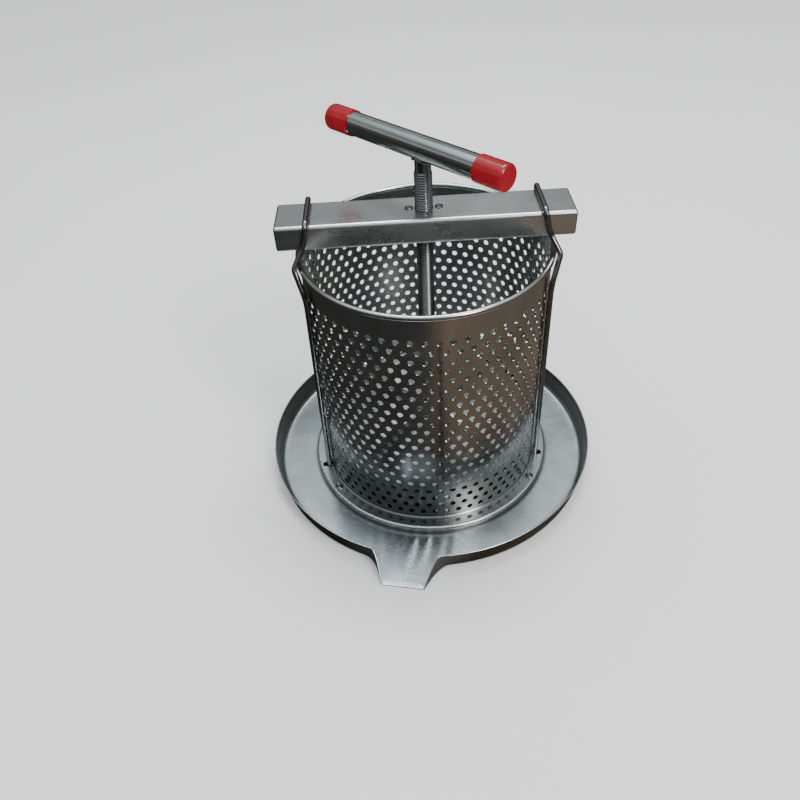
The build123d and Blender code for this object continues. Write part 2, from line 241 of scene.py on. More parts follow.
def tray_painted_light(g, base):
    """Painted light on the tray: a painted highlight on the spout, a painted dark reflection on the flared
    wall below its light top edge, and a painted shadow in the corner round the disc.
    """
    x, y, z = g.axes()
    along_x = g.math("MULTIPLY", x, cos(SPOUT_AZIMUTH))
    along = g.math("ADD", along_x, g.math("MULTIPLY", y, sin(SPOUT_AZIMUTH)))
    # painted highlight: the floor turns near white towards the spout, where it catches the bright light
    base = g.mix(g.remap(along, 100 * MM, 132 * MM, 0.0, 0.95), base, (0.86, 0.95, 1.0))
    # painted dark reflection on the flared wall; the rounded top edge is left out, so it stays light like a
    # highlight, and the darkening fades near the spout
    above_floor = g.remap(z, 3.0 * MM, 5.5 * MM, 0.0, 0.88)
    below_edge = g.remap(z, 19.7 * MM, 20.5 * MM, 1.0, 0.0)
    wall = g.math("MULTIPLY", above_floor, below_edge)
    wall = g.math("MULTIPLY", wall, g.remap(along, 138 * MM, 147 * MM, 1.0, 0.15))
    base = g.mix(wall, base, (0.175, 0.165, 0.150))
    # painted shadow: the floor darkens in the corner where the disc stands on it
    near_disc = g.remap(g.reach(), DISC_HIGH.x, DISC_HIGH.x + 3 * MM, 0.75, 0.0)
    painted_corner_shadow = g.math("MULTIPLY", near_disc, g.remap(z, 1.2 * MM, 2.5 * MM, 1.0, 0.0))
    return g.mix(painted_corner_shadow, base, (0.10, 0.10, 0.095))


def disc_painted_shade(g, base):
    """Painted shade on the skirt and its seat on the tray, which reads as a dark gap line round the disc."""
    height = g.axes()[2]
    # painted shade: the skirt darkens towards the tray floor
    return g.mix(g.remap(height, 4.2 * MM, 6.6 * MM, 0.9, 0.0), base, (0.09, 0.09, 0.085))


def basket_welds_and_painted_light(g, base):
    """Painted dark reflection on the lower band, darker on the left and lighter on the right, painted shade
    inside, and heat tint and spot-weld marks along the lap seam.
    """
    x, _, z = g.axes()
    # painted reflection: the lower band darkens, nearly black on the left and lighter grey-brown on the
    # right
    above_hem = g.remap(z, 8.0 * MM, 9.2 * MM, 0.0, 1.0)
    foot = g.math("MULTIPLY", g.remap(z, 52 * MM, 104 * MM, 0.97, 0.0), above_hem)
    painted_foot_reflection = g.mix(g.remap(x, -5 * MM, 55 * MM, 0.0, 1.0), (0.045, 0.048, 0.047), (0.24, 0.24, 0.225))
    base = g.mix(foot, base, painted_foot_reflection)
    # painted shade: the inside of the wall takes a greenish grey that stands in for its shaded, reflected
    # look inside the basket
    inside = g.remap(g.reach(), 98.7 * MM, 99.2 * MM, 0.75, 0.0)
    base = g.mix(inside, base, (0.50, 0.55, 0.53))
    arc = g.math("MULTIPLY", g.math("SUBTRACT", g.angle(), SEAM_AZIMUTH), WALL_OUTER)
    ragged = g.remap(g.noise(g.place(), 90.0, 3.0, 0.6), 0.3, 0.7, -1.2 * MM, 1.2 * MM)
    from_seam = g.math("ADD", g.math("ABSOLUTE", arc), ragged)
    lapped = g.remap(z, 196 * MM, 206 * MM, 1.0, 0.12)
    heat = g.math("MULTIPLY", g.remap(from_seam, 0.4 * MM, 3.2 * MM, 0.5, 0.0), lapped)
    base = g.mix(heat, base, (0.13, 0.105, 0.085))
    rise = g.math("PINGPONG", z, WELD_PITCH / 2)
    away = g.math("ADD", g.math("MULTIPLY", arc, arc), g.math("MULTIPLY", rise, rise))
    mark = g.remap(g.math("SQRT", away), 0.9 * MM, 1.7 * MM, 0.55, 0.0)
    return g.mix(g.math("MULTIPLY", mark, lapped), base, (0.07, 0.06, 0.05))


GRAINS = {    # which way the grain runs, and how far its noise is stretched
    "plain": (Graph.place, (60.0, 1100.0, 1100.0)),
    "along_x": (Graph.place, (25.0, 1300.0, 1300.0)),
    "round": (Graph.round_place, (40.0, 900.0, 1.0)),
    "turned": (Graph.polar_place, (1500.0, 30.0, 200.0)),
}
STAIN = (0.30, 0.26, 0.22)


def sheet_steel(name, light, dark, roughness, grain, grain_depth, tint=None):
    """Metal with rolling or turning grain, faint waviness, handling smudges and a little staining."""
    g = Graph(name)
    coordinates, scale = GRAINS[grain]
    grain_noise = g.noise(g.stretch(coordinates(g), scale), 1.0, 4.0, 0.6)
    broad = g.noise(g.place(), 6.0, 2.0, 0.5)
    base = g.mix(g.remap(broad, 0.35, 0.65, 0.0, 1.0), light, dark)
    spot = g.remap(g.noise(g.place(), 55.0, 5.0, 0.65), 0.62, 0.74, 0.0, 0.45)
    base = g.mix(spot, base, STAIN)
    if tint:
        base = tint(g, base)
    g.set(colour=base, metallic=1.0)
    smudge = g.remap(g.noise(g.place(), 22.0, 4.0, 0.6), 0.42, 0.68, 0.0, 1.0)
    rough = g.math("ADD", g.remap(grain_noise, 0.3, 0.7, -0.03, 0.03), roughness)
    g.set(roughness=g.math("ADD", rough, g.math("MULTIPLY", smudge, 0.09)))
    wave = g.bump(g.noise(g.place(), 14.0, 1.0, 0.4), 0.25, 0.0012)
    tooth = {"Height": grain_noise, "Strength": 0.35, "Distance": grain_depth * MM, "Normal": wave}
    g.set(normal=g.node("ShaderNodeBump", tooth).outputs[0])
    return g.material


def vinyl(name, colour, deep):
    """Glossy dipped vinyl with faint sink marks and scuffs."""
    g = Graph(name)
    cloud = g.remap(g.noise(g.place(), 40.0, 3.0, 0.5), 0.35, 0.7, 0.0, 1.0)
    g.set(colour=g.mix(cloud, colour, deep), metallic=0.0, ior=1.5, specular=0.6)
    scratches = g.noise(g.stretch(g.place(), (300.0, 120.0, 500.0)), 1.0, 5.0, 0.7)
    g.set(roughness=g.math("ADD", g.remap(scratches, 0.55, 0.75, 0.0, 0.22), 0.2))
    g.set(normal=g.bump(g.noise(g.place(), 90.0, 2.0, 0.5), 0.2, 0.0004))
    g.set(coat=0.25, coat_roughness=0.12)
    return g.material


METALS = {    # light and dark colour, roughness, grain, depth of the grain in mm, tint
    "tray_steel": ((0.56, 0.615, 0.63), (0.43, 0.475, 0.48), 0.25, "plain", 0.0025, tray_painted_light),
    "disc_steel": ((0.60, 0.64, 0.65), (0.46, 0.49, 0.50), 0.20, "turned", 0.004, disc_painted_shade),
    "basket_steel": ((0.58, 0.575, 0.56), (0.44, 0.435, 0.42), 0.19, "round", 0.006, basket_welds_and_painted_light),
    "wire_steel": ((0.32, 0.32, 0.315), (0.19, 0.19, 0.19), 0.20, "plain", 0.006),
    "bar_steel": ((0.70, 0.72, 0.73), (0.56, 0.58, 0.59), 0.24, "along_x", 0.0025),
    "nut_steel": ((0.42, 0.42, 0.42), (0.30, 0.30, 0.30), 0.35, "plain", 0.02),
    "rivet_steel": ((0.24, 0.25, 0.25), (0.13, 0.135, 0.135), 0.22, "plain", 0.006),
    "plate_steel": ((0.48, 0.50, 0.50), (0.34, 0.355, 0.355), 0.34, "turned", 0.015),
    "screw_steel": ((0.27, 0.28, 0.28), (0.17, 0.175, 0.175), 0.20, "round", 0.002),
    "handle_steel": ((0.62, 0.66, 0.65), (0.50, 0.54, 0.53), 0.15, "plain", 0.005),
    "bronze": ((0.60, 0.40, 0.18), (0.45, 0.29, 0.12), 0.35, "turned", 0.02),
}
MATERIALS = {slot: sheet_steel(slot, *finish) for slot, finish in METALS.items()}
MATERIALS["red_vinyl"] = vinyl("red_vinyl", (0.30, 0.003, 0.010), (0.21, 0.002, 0.007))


def dress(obj, slot):
    """Gives a piece the material of a slot."""
    obj.data.materials.clear()
    obj.data.materials.append(MATERIALS[slot])


def finish_piece(obj, body, slot, *nodes):
    """Dresses a piece, lets it ride on a body and hides the nodes it stands for."""
    dress(obj, slot)
    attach(obj, body)
    if nodes:
        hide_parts(*nodes)
    return obj


SHEET_CREASE = 32    # degrees; sharper edges stay crisp on sheet and CAD pieces

for part in frame["record"]["subparts"]:
    node = frame["nodes"][part["node"]]
    dress(node, part["material_slot"])
    shade(node, SHEET_CREASE)


# ---- perforated basket ---------------------------------------------------------------------

HOLES_ROUND = 60
HOLE_ROWS = 22
HOLE_RADIUS = 2.4 * MM
HOLE_PITCH = 2 * pi / HOLES_ROUND
ROW_PITCH = 8.92 * MM
TOP_ROW = BASKET_HIGH.z - 24.8 * MM
ROW_PHASE = radians(2.05)
ROUND_OFF = 0.16 * MM           # rounding of each hole's two edges
CELL_SIDE = ROW_PITCH / 3       # height of a cell's side corners above its hole
CELL_TIP = ROW_PITCH - CELL_SIDE
BORDER_POINTS = 12


def cell_border(n):
    """Point n of a hole's six-sided cell, as (angle, height) from the hole."""
    corners = [(0, CELL_TIP), (-1, CELL_SIDE), (-1, -CELL_SIDE),
               (0, -CELL_TIP), (1, -CELL_SIDE), (1, CELL_SIDE)]
    side, step = divmod(n % BORDER_POINTS, BORDER_POINTS // 6)
    a, b = corners[side], corners[(side + 1) % 6]
    t = step / (BORDER_POINTS // 6)
    return (a[0] + (b[0] - a[0]) * t) * HOLE_PITCH / 2, a[1] + (b[1] - a[1]) * t


def hole_rim(n, radius):
    """Point n of a round hole, as (angle, height) from its centre."""
    a = pi / 2 + 2 * pi * n / BORDER_POINTS
    return radius * cos(a) / WALL_OUTER, radius * sin(a)


class Shell:
    """Collects the points and faces of a thin wall round Z, sharing points that coincide."""

    def __init__(self):
        self.verts, self.faces, self.index = [], [], {}

    def point(self, angle, height, radius):
        key = (round(math.remainder(angle, 2 * pi) * 1e5), round(height * 1e7), round(radius * 1e7))
        if key[0] == -round(pi * 1e5):
            key = (-key[0], key[1], key[2])
        if key not in self.index:
            self.index[key] = len(self.verts)
            self.verts.append((radius * cos(angle), radius * sin(angle), height))
        return self.index[key]

    def quad(self, *points):
        ids = [self.point(*p) for p in points]
        if len(set(ids)) > 2:
            self.faces.append(tuple(dict.fromkeys(ids)))


def row_phase(row):
    """Angle of a row's first hole: every other row is half a pitch further round."""
    return ROW_PHASE + (row % 2) * HOLE_PITCH / 2


def hole_places():
    """Angle and height of every hole, row by row from the top."""
    for row in range(HOLE_ROWS):
        for column in range(HOLES_ROUND):
            yield column * HOLE_PITCH + row_phase(row), TOP_ROW - row * ROW_PITCH


def outer_edge(n):
    """Point n where a hole's rounded edge starts."""
    return hole_rim(n, HOLE_RADIUS + ROUND_OFF)


def bore_edge(n):
    """Point n of the hole's straight bore."""
    return hole_rim(n, HOLE_RADIUS)


def perforated_wall(shell):
    """The field of holes, each with rounded edges outside and inside."""
    rings = [(cell_border, WALL_OUTER), (outer_edge, WALL_OUTER), (bore_edge, WALL_OUTER - ROUND_OFF),
             (bore_edge, WALL_INNER + ROUND_OFF), (outer_edge, WALL_INNER), (cell_border, WALL_INNER)]
    for angle, height in hole_places():
        for (ring_a, ra), (ring_b, rb) in zip(rings, rings[1:]):
            for n in range(BORDER_POINTS):
                places = [(*ring_a(n), ra), (*ring_a(n + 1), ra), (*ring_b(n + 1), rb), (*ring_b(n), rb)]
                shell.quad(*((angle + da, height + dz, r) for da, dz, r in places))


def curl_profile(steps=14):
    """Rolled rim from the wall's outside, round the wire and back to the wall's inside."""
    bore = CURL_RADIUS - SHEET
    start = -pi / 2 - math.asin((RIM_CENTRE_RADIUS - WALL_OUTER) / bore)
    end = radians(-36) - 2 * pi
    points = [(WALL_OUTER, RIM_CENTRE_HEIGHT + bore * sin(start))]
    for i in range(1, steps + 1):
        a = start + (end - start) * i / steps
        points.append((RIM_CENTRE_RADIUS + bore * cos(a), RIM_CENTRE_HEIGHT + bore * sin(a)))
    back = -pi / 2 - math.asin((RIM_CENTRE_RADIUS - WALL_INNER) / CURL_RADIUS)
    for i in range(steps + 3):
        a = end + (back - end) * i / (steps + 2)
        points.append((RIM_CENTRE_RADIUS + CURL_RADIUS * cos(a), RIM_CENTRE_HEIGHT + CURL_RADIUS * sin(a)))
    return points


def hem_profile():
    """Turned-out hem at the foot, from the wall's outside to its inside."""
    foot = BASKET_LOW.z
    flange = WALL_OUTER + 0.7 * MM
    return [
        (WALL_OUTER, foot + 2.2 * MM), (WALL_OUTER + 0.1 * MM, foot + 1.5 * MM),
        (WALL_OUTER + 0.4 * MM, foot + 1.15 * MM), (flange, foot + 0.9 * MM), (flange, foot + 0.2 * MM),
        (flange - 0.2 * MM, foot), (WALL_INNER + 0.2 * MM, foot), (WALL_INNER, foot + 0.2 * MM),
    ]


def band(shell, angles, heights, profile):
    """Plain band between a zigzag edge of the hole field and a profile that closes the wall."""
    for i, angle in enumerate(angles):
        nxt = angles[(i + 1) % len(angles)]
        h0, h1 = heights[i], heights[(i + 1) % len(angles)]
        shell.quad((angle, h0, WALL_OUTER), (nxt, h1, WALL_OUTER),
                   (nxt, profile[0][1], profile[0][0]), (angle, profile[0][1], profile[0][0]))
        for (r0, z0), (r1, z1) in zip(profile, profile[1:]):
            shell.quad((angle, z0, r0), (nxt, z0, r0), (nxt, z1, r1), (angle, z1, r1))
        shell.quad((angle, profile[-1][1], profile[-1][0]), (nxt, profile[-1][1], profile[-1][0]),
                   (nxt, h1, WALL_INNER), (angle, h0, WALL_INNER))


def zigzag(row, middle):
    """Angles and heights of a row of cells' free edge, two sides each about their border point middle."""
    side = BORDER_POINTS // 6
    points = []
    for column in range(HOLES_ROUND):
        for n in range(middle - side, middle + side):
            da, dz = cell_border(n)
            angle = column * HOLE_PITCH + row_phase(row) + da
            points.append((angle, TOP_ROW - row * ROW_PITCH + dz))
    return zip(*sorted(points))


def make_basket():
    shell = Shell()
    perforated_wall(shell)
    band(shell, *zigzag(0, 0), curl_profile())
    band(shell, *zigzag(HOLE_ROWS - 1, BORDER_POINTS // 2), hem_profile())
    return new_mesh("basket_perforated", shell.verts, shell.faces, SHEET_CREASE)


finish_piece(make_basket(), "press_frame", "basket_steel", "basket_shell")


def make_seam(columns=24):
    """Inner lap of the sheet, spot-welded behind the outer one. It closes the holes that it crosses."""
    outer, inner = WALL_INNER - 0.02 * MM, WALL_INNER - 0.72 * MM
    half = 5.6 * MM / WALL_OUTER
    foot, top = BASKET_LOW.z + 2 * MM, RIM_CENTRE_HEIGHT - 4 * MM
    verts, faces = [], []
    for i in range(columns + 1):
        a = SEAM_AZIMUTH + half * (2 * i / columns - 1)
        taper = 0.25 * MM if i in (0, columns) else 0.0
        verts += [(r * cos(a), r * sin(a), z) for r, z in
                  ((outer, foot), (outer, top), (inner + taper, top), (inner + taper, foot))]
    for i in range(columns):
        for j in range(4):
            k = (j + 1) % 4
            faces.append((4 * i + j, 4 * i + k, 4 * i + 4 + k, 4 * i + 4 + j))
    faces += [(0, 1, 2, 3), tuple(4 * columns + j for j in range(4))]
    return new_mesh("basket_seam", verts, faces, SHEET_CREASE)


finish_piece(make_seam(), "press_frame", "basket_steel")


# ---- screw thread --------------------------------------------------------------------------

THREAD_PITCH = 2.0 * MM
THREAD_DEPTH = 0.95 * MM
THREAD_BOTTOM = 60 * MM
THREAD_TOP = 287 * MM
THREAD_RUN_OUT = 1.5 * THREAD_PITCH
THREAD_OVERLAP = 1 * MM
CREST_POINTS = 8
JOURNAL_RADIUS = 6.0 * MM
NECK_RADIUS = 6.18 * MM


def make_thread(segments=40):
    """Right-hand thread, whose rows of points follow the helix and fade out at both ends."""
    minor = SCREW_HIGH.x - THREAD_DEPTH
    crest = []
    for i in range(CREST_POINTS):
        rise = (0.5 - 0.5 * cos(2 * pi * i / CREST_POINTS)) ** 0.8
        crest.append((i / CREST_POINTS, minor + THREAD_DEPTH * rise))
    turns = int((THREAD_TOP - THREAD_BOTTOM) / THREAD_PITCH) + 2
    rows = [(turn + t, r) for turn in range(-1, turns) for t, r in crest]
    verts, faces = [], []
    for i in range(segments):
        a = 2 * pi * i / segments
        for t, r in rows:
            z = THREAD_BOTTOM + (t + i / segments) * THREAD_PITCH
            fade = min(z - THREAD_BOTTOM, THREAD_TOP - z) / THREAD_RUN_OUT
            r = minor + (r - minor) * min(1.0, max(0.0, fade))
            verts.append((r * cos(a), r * sin(a), min(max(z, THREAD_BOTTOM), THREAD_TOP)))
    count = len(rows)
    for i in range(segments):
        nxt = (i + 1) % segments
        shift = len(crest) if nxt == 0 else 0
        for j in range(count - 1 - shift):
            here, beside = i * count + j, nxt * count + j + shift
            faces.append((here, beside, beside + 1, here + 1))
    thread = new_mesh("screw_threaded", verts, faces, None)
    bm = bmesh.new()
    bm.from_mesh(thread.data)
    for height in (THREAD_BOTTOM, THREAD_TOP):
        ring = [e for e in bm.edges if e.is_boundary and all(abs(v.co.z - height) < MERGE for v in e.verts)]
        bmesh.ops.holes_fill(bm, edges=ring, sides=0)
    bm.to_mesh(thread.data)
    bm.free()
    return thread


def make_neck():
    """Plain neck above the thread, which it overlaps."""
    low, high = THREAD_TOP - THREAD_OVERLAP, SCREW_HIGH.z
    return lathe("neck", [(0.0, low), (NECK_RADIUS, low), (NECK_RADIUS, high), (0.0, high)], 64)


def make_journal():
    """Grooved journal below the thread, which it overlaps."""
    groove_low, groove_high, groove_radius = 50.2 * MM, 53.8 * MM, 4.4 * MM
    foot, top, edge = SCREW_LOW.z, THREAD_BOTTOM + THREAD_OVERLAP, 0.8 * MM
    return lathe("journal", [
        (0.0, foot), (JOURNAL_RADIUS - edge, foot), (JOURNAL_RADIUS, foot + edge),
        (JOURNAL_RADIUS, groove_low), (groove_radius, groove_low), (groove_radius, groove_high),
        (JOURNAL_RADIUS, groove_high), (JOURNAL_RADIUS, top), (0.0, top),
    ], 64)


def make_spindle():
    """Threaded screw with its two plain ends."""
    return joined("screw_threaded", [make_thread(), make_neck(), make_journal()], 50)


finish_piece(make_spindle(), "spindle", "screw_steel", "screw")


# ---- drip tray -----------------------------------------------------------------------------

TRAY_SHEET = DISC_LOW.z - TRAY_LOW.z    # the disc stands on the tray's floor
TRAY_BASE_RADIUS = TRAY_RIM_RADIUS - 4.0 * MM
TRAY_FLARE = (TRAY_RIM_RADIUS - TRAY_BASE_RADIUS) / TRAY_HEIGHT
TRAY_CORNER = 4.0 * MM
SPOUT_REACH = 168.5 * MM
SPOUT_TIP = 18.2 * MM
SPOUT_NECK = Vector((22.6 * MM, 158.0 * MM))
SPOUT_ROOT = Vector((44.0 * MM, 139.5 * MM))
SPOUT_SHOULDER = 149.5 * MM
SPOUT_LIP = 1.8 * MM
SPOUT_CORNER = 1.6 * MM
ROOT_BLEND = 1.2 * MM
TRAY_EDGE = 0.35 * MM     # height over which the wall's edge is rounded
LIP_ROUND = 0.15 * MM     # rounding of the spout's cut edge
FLOOR_RINGS = (0.0, 0.2, 0.4, 0.55, 0.66, 0.72, 0.76, 0.79, 0.82, 0.85, 0.88, 0.91, 0.94, 0.97, 1.0)


def spout_reach(angle):
    """Distance from the tray's centre to the spout's outline, at an angle from the spout's axis."""
    angle = abs(angle)
    tip_angle = math.atan2(SPOUT_TIP, SPOUT_REACH)
    if angle <= tip_angle:
        return SPOUT_REACH / cos(angle)
    slope = (SPOUT_NECK.x - SPOUT_TIP) / (SPOUT_REACH - SPOUT_NECK.y)
    if angle <= math.atan2(SPOUT_NECK.x, SPOUT_NECK.y):
        along = (SPOUT_TIP + SPOUT_REACH * slope) / (math.tan(angle) + slope)
        return along / cos(angle)
    if angle > math.atan2(SPOUT_ROOT.x, SPOUT_ROOT.y):
        return 0.0
    side = Vector((1.0, slope)).normalized()
    gap = SPOUT_ROOT - SPOUT_NECK
    radius = gap.length_squared / (2 * gap.dot(side))
    centre = SPOUT_NECK + side * radius
    ahead = centre.dot(Vector((sin(angle), cos(angle))))
    return ahead - math.sqrt(max(0.0, radius ** 2 - centre.length_squared + ahead ** 2))


def tray_reach(angle, height):
    """Distance from the tray's centre to the outside of its wall."""
    wall = TRAY_BASE_RADIUS + TRAY_FLARE * height
    spout = spout_reach(angle)
    gap = abs(wall - spout)
    return max(wall, spout) + max(0.0, ROOT_BLEND - gap) ** 2 / (4 * ROOT_BLEND)


def plan(angle, reach):
    """Point in the tray's own directions, with the spout along +Y."""
    return Vector((reach * sin(angle), reach * cos(angle)))


def outside_of(angle, height):
    """Point on the outline and the direction straight out of it."""
    step = 0.002
    ahead, behind = angle + step, angle - step
    tip = math.atan2(SPOUT_TIP, SPOUT_REACH)
    for edge in (tip, -tip):
        if behind < edge < angle:
            behind = angle
        if angle <= edge < ahead:
            ahead = angle
    run = plan(ahead, tray_reach(ahead, height)) - plan(behind, tray_reach(behind, height))
    return plan(angle, tray_reach(angle, height)), Vector((-run.y, run.x)).normalized()


def ease(value, low, high):
    """Smooth step from 0 at low to 1 at high."""
    t = min(1.0, max(0.0, (value - low) / (high - low)))
    return t * t * (3 - 2 * t)


def ripple(point):
    """Height of the pleats that the pressed spout leaves in the floor in front of the disc."""
    across, along = point.x, point.y
    fan = 1.0 + (along - 0.112) * -3.0
    pleats = 0.5 + 0.5 * cos(2 * pi * across / (12.5 * MM * fan) + 0.7)
    fade = ease(along, 0.108, 0.117) * (1 - ease(along, 0.124, 0.156)) * math.exp(-(across / 0.026) ** 2)
    fade *= 0.72 + 0.28 * cos(across / (5.5 * MM) + 1.0)
    swell = 0.35 * MM * math.exp(-((across - 0.006) / 0.012) ** 2) * ease(along, 0.118, 0.14)
    return 1.5 * MM * pleats * fade + swell * (1 - ease(along, 0.152, 0.166))


def quarter(steps=4):
    """Angles of a quarter turn, without its start."""
    return [pi / 2 * i / steps for i in range(1, steps + 1)]


def lip_profile(base, out):
    """Cut edge of the sheet at the spout's open end, from its upper side to its underside."""
    upper, lower = [], []
    for a in quarter():
        ahead, aside = LIP_ROUND * (1 - sin(a)), LIP_ROUND * (1 - cos(a))
        upper.append((base - out * ahead, TRAY_SHEET - aside))
        lower.append((base - out * aside, ahead))
    return upper + upper[-1:] * 8 + [(base, TRAY_SHEET / 2)] * 4 + lower


def wall_profile(angle, top, inner, outer):
    """Inner corner, inside, edge, outside and outer corner of the flared wall, at one angle."""
    def wall_point(height, inset):
        place, out = outside_of(angle, height)
        return place - out * inset, height

    low, high = TRAY_SHEET + inner, top - TRAY_EDGE
    points = []
    for a in quarter():
        points.append(wall_point(TRAY_SHEET + inner * (1 - cos(a)), TRAY_SHEET + inner * (1 - sin(a))))
    for i in range(1, 4):
        points.append(wall_point(low + (max(low, high) - low) * i / 3, TRAY_SHEET))
    for i in range(1, 6):
        a = pi * i / 6
        points.append(wall_point(high + TRAY_EDGE * sin(a), TRAY_SHEET / 2 * (1 + cos(a))))
    for i in range(4):
        points.append(wall_point(max(high + (outer - high) * i / 3, outer), 0.0))
    return points + [wall_point(outer * (1 - sin(a)), outer * (1 - cos(a))) for a in quarter()]


def tray_column(angle, open_edge):
    """Points out over the floor, round the wall and back along the underside, at one angle."""
    base, out = outside_of(angle, 0.0)
    if open_edge:
        profile, inset = lip_profile(base, out), LIP_ROUND
    else:
        fall = (base.y - SPOUT_SHOULDER) / (SPOUT_REACH - SPOUT_SHOULDER)
        top = TRAY_HEIGHT + (SPOUT_LIP - TRAY_HEIGHT) * min(1.0, max(0.0, fall))
        spoutness = ease(tray_reach(angle, 0.0), TRAY_BASE_RADIUS + 1 * MM, TRAY_BASE_RADIUS + 8 * MM)
        outer = min(TRAY_CORNER + (SPOUT_CORNER - TRAY_CORNER) * spoutness, 0.8 * top)
        inner = max(0.1 * MM, outer - TRAY_SHEET)
        profile, inset = wall_profile(angle, top, inner, outer), TRAY_SHEET + inner
    start, foot = base - out * inset, profile[-1][0]
    floor = [(start * k, TRAY_SHEET) for k in FLOOR_RINGS]
    return floor + profile + [(foot * k, 0.0) for k in reversed(FLOOR_RINGS)]


def make_tray():
    tip = math.atan2(SPOUT_TIP, SPOUT_REACH)
    angles = [(tip * (i / 12 - 1), True) for i in range(25)]
    bend = 0.42
    side = [tip + (bend - tip) * (max(i, 0.25) / 60) ** 1.3 for i in range(61)]
    angles += [(angle, False) for angle in side]
    angles += [(bend + (2 * pi - 2 * bend) * i / 260, False) for i in range(1, 260)]
    angles += [(2 * pi - angle, False) for angle in reversed(side)]
    turn = Matrix.Rotation(SPOUT_AZIMUTH - pi / 2, 2)
    verts, faces, columns = [], [], []
    for angle, open_edge in angles:
        column = []
        for place, height in tray_column(math.remainder(angle, 2 * pi), open_edge):
            flat = turn @ place
            column.append(len(verts))
            verts.append((flat.x, flat.y, height + ripple(place)))
        columns.append(column)
    for a, b in zip(columns, columns[1:] + columns[:1]):
        for i in range(len(a) - 1):
            faces.append((a[i], a[i + 1], b[i + 1], b[i]))
    return new_mesh("tray_pressed", verts, faces, 38)


finish_piece(make_tray(), "press_frame", "tray_steel", "tray")


# ---- rivets and weld -----------------------------------------------------------------------

RIVET_SHANK = 1.98 * MM
RIVET_GROOVE = 0.66      # the groove's share of the head's radius


def domed_head(radius, height, ring):
    """Profile of a set rivet: outer collar, a groove, and a crowned centre with a small pip."""
    groove = 0.55 * height
    return [
        (0.0, height * 0.80), (0.07 * radius, height * 0.82), (0.14 * radius, height * 0.98),
        (0.3 * radius, height), (ring - 0.16 * radius, height * 0.97), (ring - 0.07 * radius, height * 0.75),
        (ring, groove * 0.6), (ring + 0.07 * radius, height * 0.7), (ring + 0.14 * radius, height * 0.86),
        (radius * 0.92, height * 0.78), (radius * 0.985, height * 0.5), (radius, 0.0), (0.0, 0.0),
    ]


def set_rivet(x, y, seat, bottom, radius, height):
    """Rivet with a detailed head above its seat and a plain shank below."""
    ring = RIVET_GROOVE * radius
    profile = [(r, seat + z) for r, z in domed_head(radius, height, ring)[:-1]]
    profile += [(RIVET_SHANK, seat), (RIVET_SHANK, bottom), (0.0, bottom)]
    piece = lathe("rivet", profile, 40)
    piece.data.transform(Matrix.Translation((x, y, 0)))
    return piece


def make_disc_rivets():
    low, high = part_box("disc_rivets")
    radius = 3.6 * MM
    height = 0.9 * MM
    places = [(x, y) for x in (low.x + radius, high.x - radius) for y in (low.y + radius, high.y - radius)]
    heads = [set_rivet(x, y, DISC_HIGH.z, low.z, radius, height) for x, y in places]
    return joined("disc_rivets_set", heads, CRISP)


def make_nut_rivets():
    low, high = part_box("nut_rivets")
    radius, height = 3.3 * MM, 1.1 * MM
    pieces = []
    for x in (low.x + radius, high.x - radius):
        ring = RIVET_GROOVE * radius
        profile = [(r, BAR_HIGH.z + z) for r, z in domed_head(radius, height, ring)[:-1]]
        profile += [(RIVET_SHANK, BAR_HIGH.z), (RIVET_SHANK, BAR_LOW.z), (radius, BAR_LOW.z),
                    (radius, low.z + 0.3 * MM), (0.9 * radius, low.z), (0.0, low.z)]
        piece = lathe("rivet", profile, 40)
        piece.data.transform(Matrix.Translation((x, 0, 0)))
        pieces.append(piece)
    return joined("nut_rivets_set", pieces, CRISP)


finish_piece(make_disc_rivets(), "press_frame", "rivet_steel", "disc_rivets")
finish_piece(make_nut_rivets(), "press_frame", "rivet_steel", "nut_rivets")


def make_handle_weld():
    """Rippled weld that runs round the neck where it enters the handle tube."""
    low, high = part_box("handle_tube")
    centre = (low.z + high.z) / 2
    radius = (high.z - low.z) / 2
    azimuth = math.atan2(low.y - high.y, high.x - low.x)
    ring, bead = NECK_RADIUS + 0.7 * MM, 1.5 * MM
    verts, faces = [], []
    around, across = 120, 12
    for i in range(around):
        a = 2 * pi * i / around
        side = ring * sin(a - azimuth)
        height = centre - math.sqrt(radius ** 2 - side ** 2) - 0.25 * MM
        size = bead * (1 + 0.10 * sin(17 * a) + 0.06 * sin(5 * a + 1))
        for j in range(across):
            b = 2 * pi * j / across
            r = ring + size * cos(b)
            verts.append((r * cos(a), r * sin(a), height + size * 0.8 * sin(b)))
    for i in range(around):
        nxt = (i + 1) % around
        for j in range(across):
            k = (j + 1) % across
            faces.append((i * across + j, nxt * across + j, nxt * across + k, i * across + k))
    return new_mesh("handle_weld", verts, faces, None)


finish_piece(make_handle_weld(), "spindle", "screw_steel")


# ---- stage, light and camera ---------------------------------------------------------------

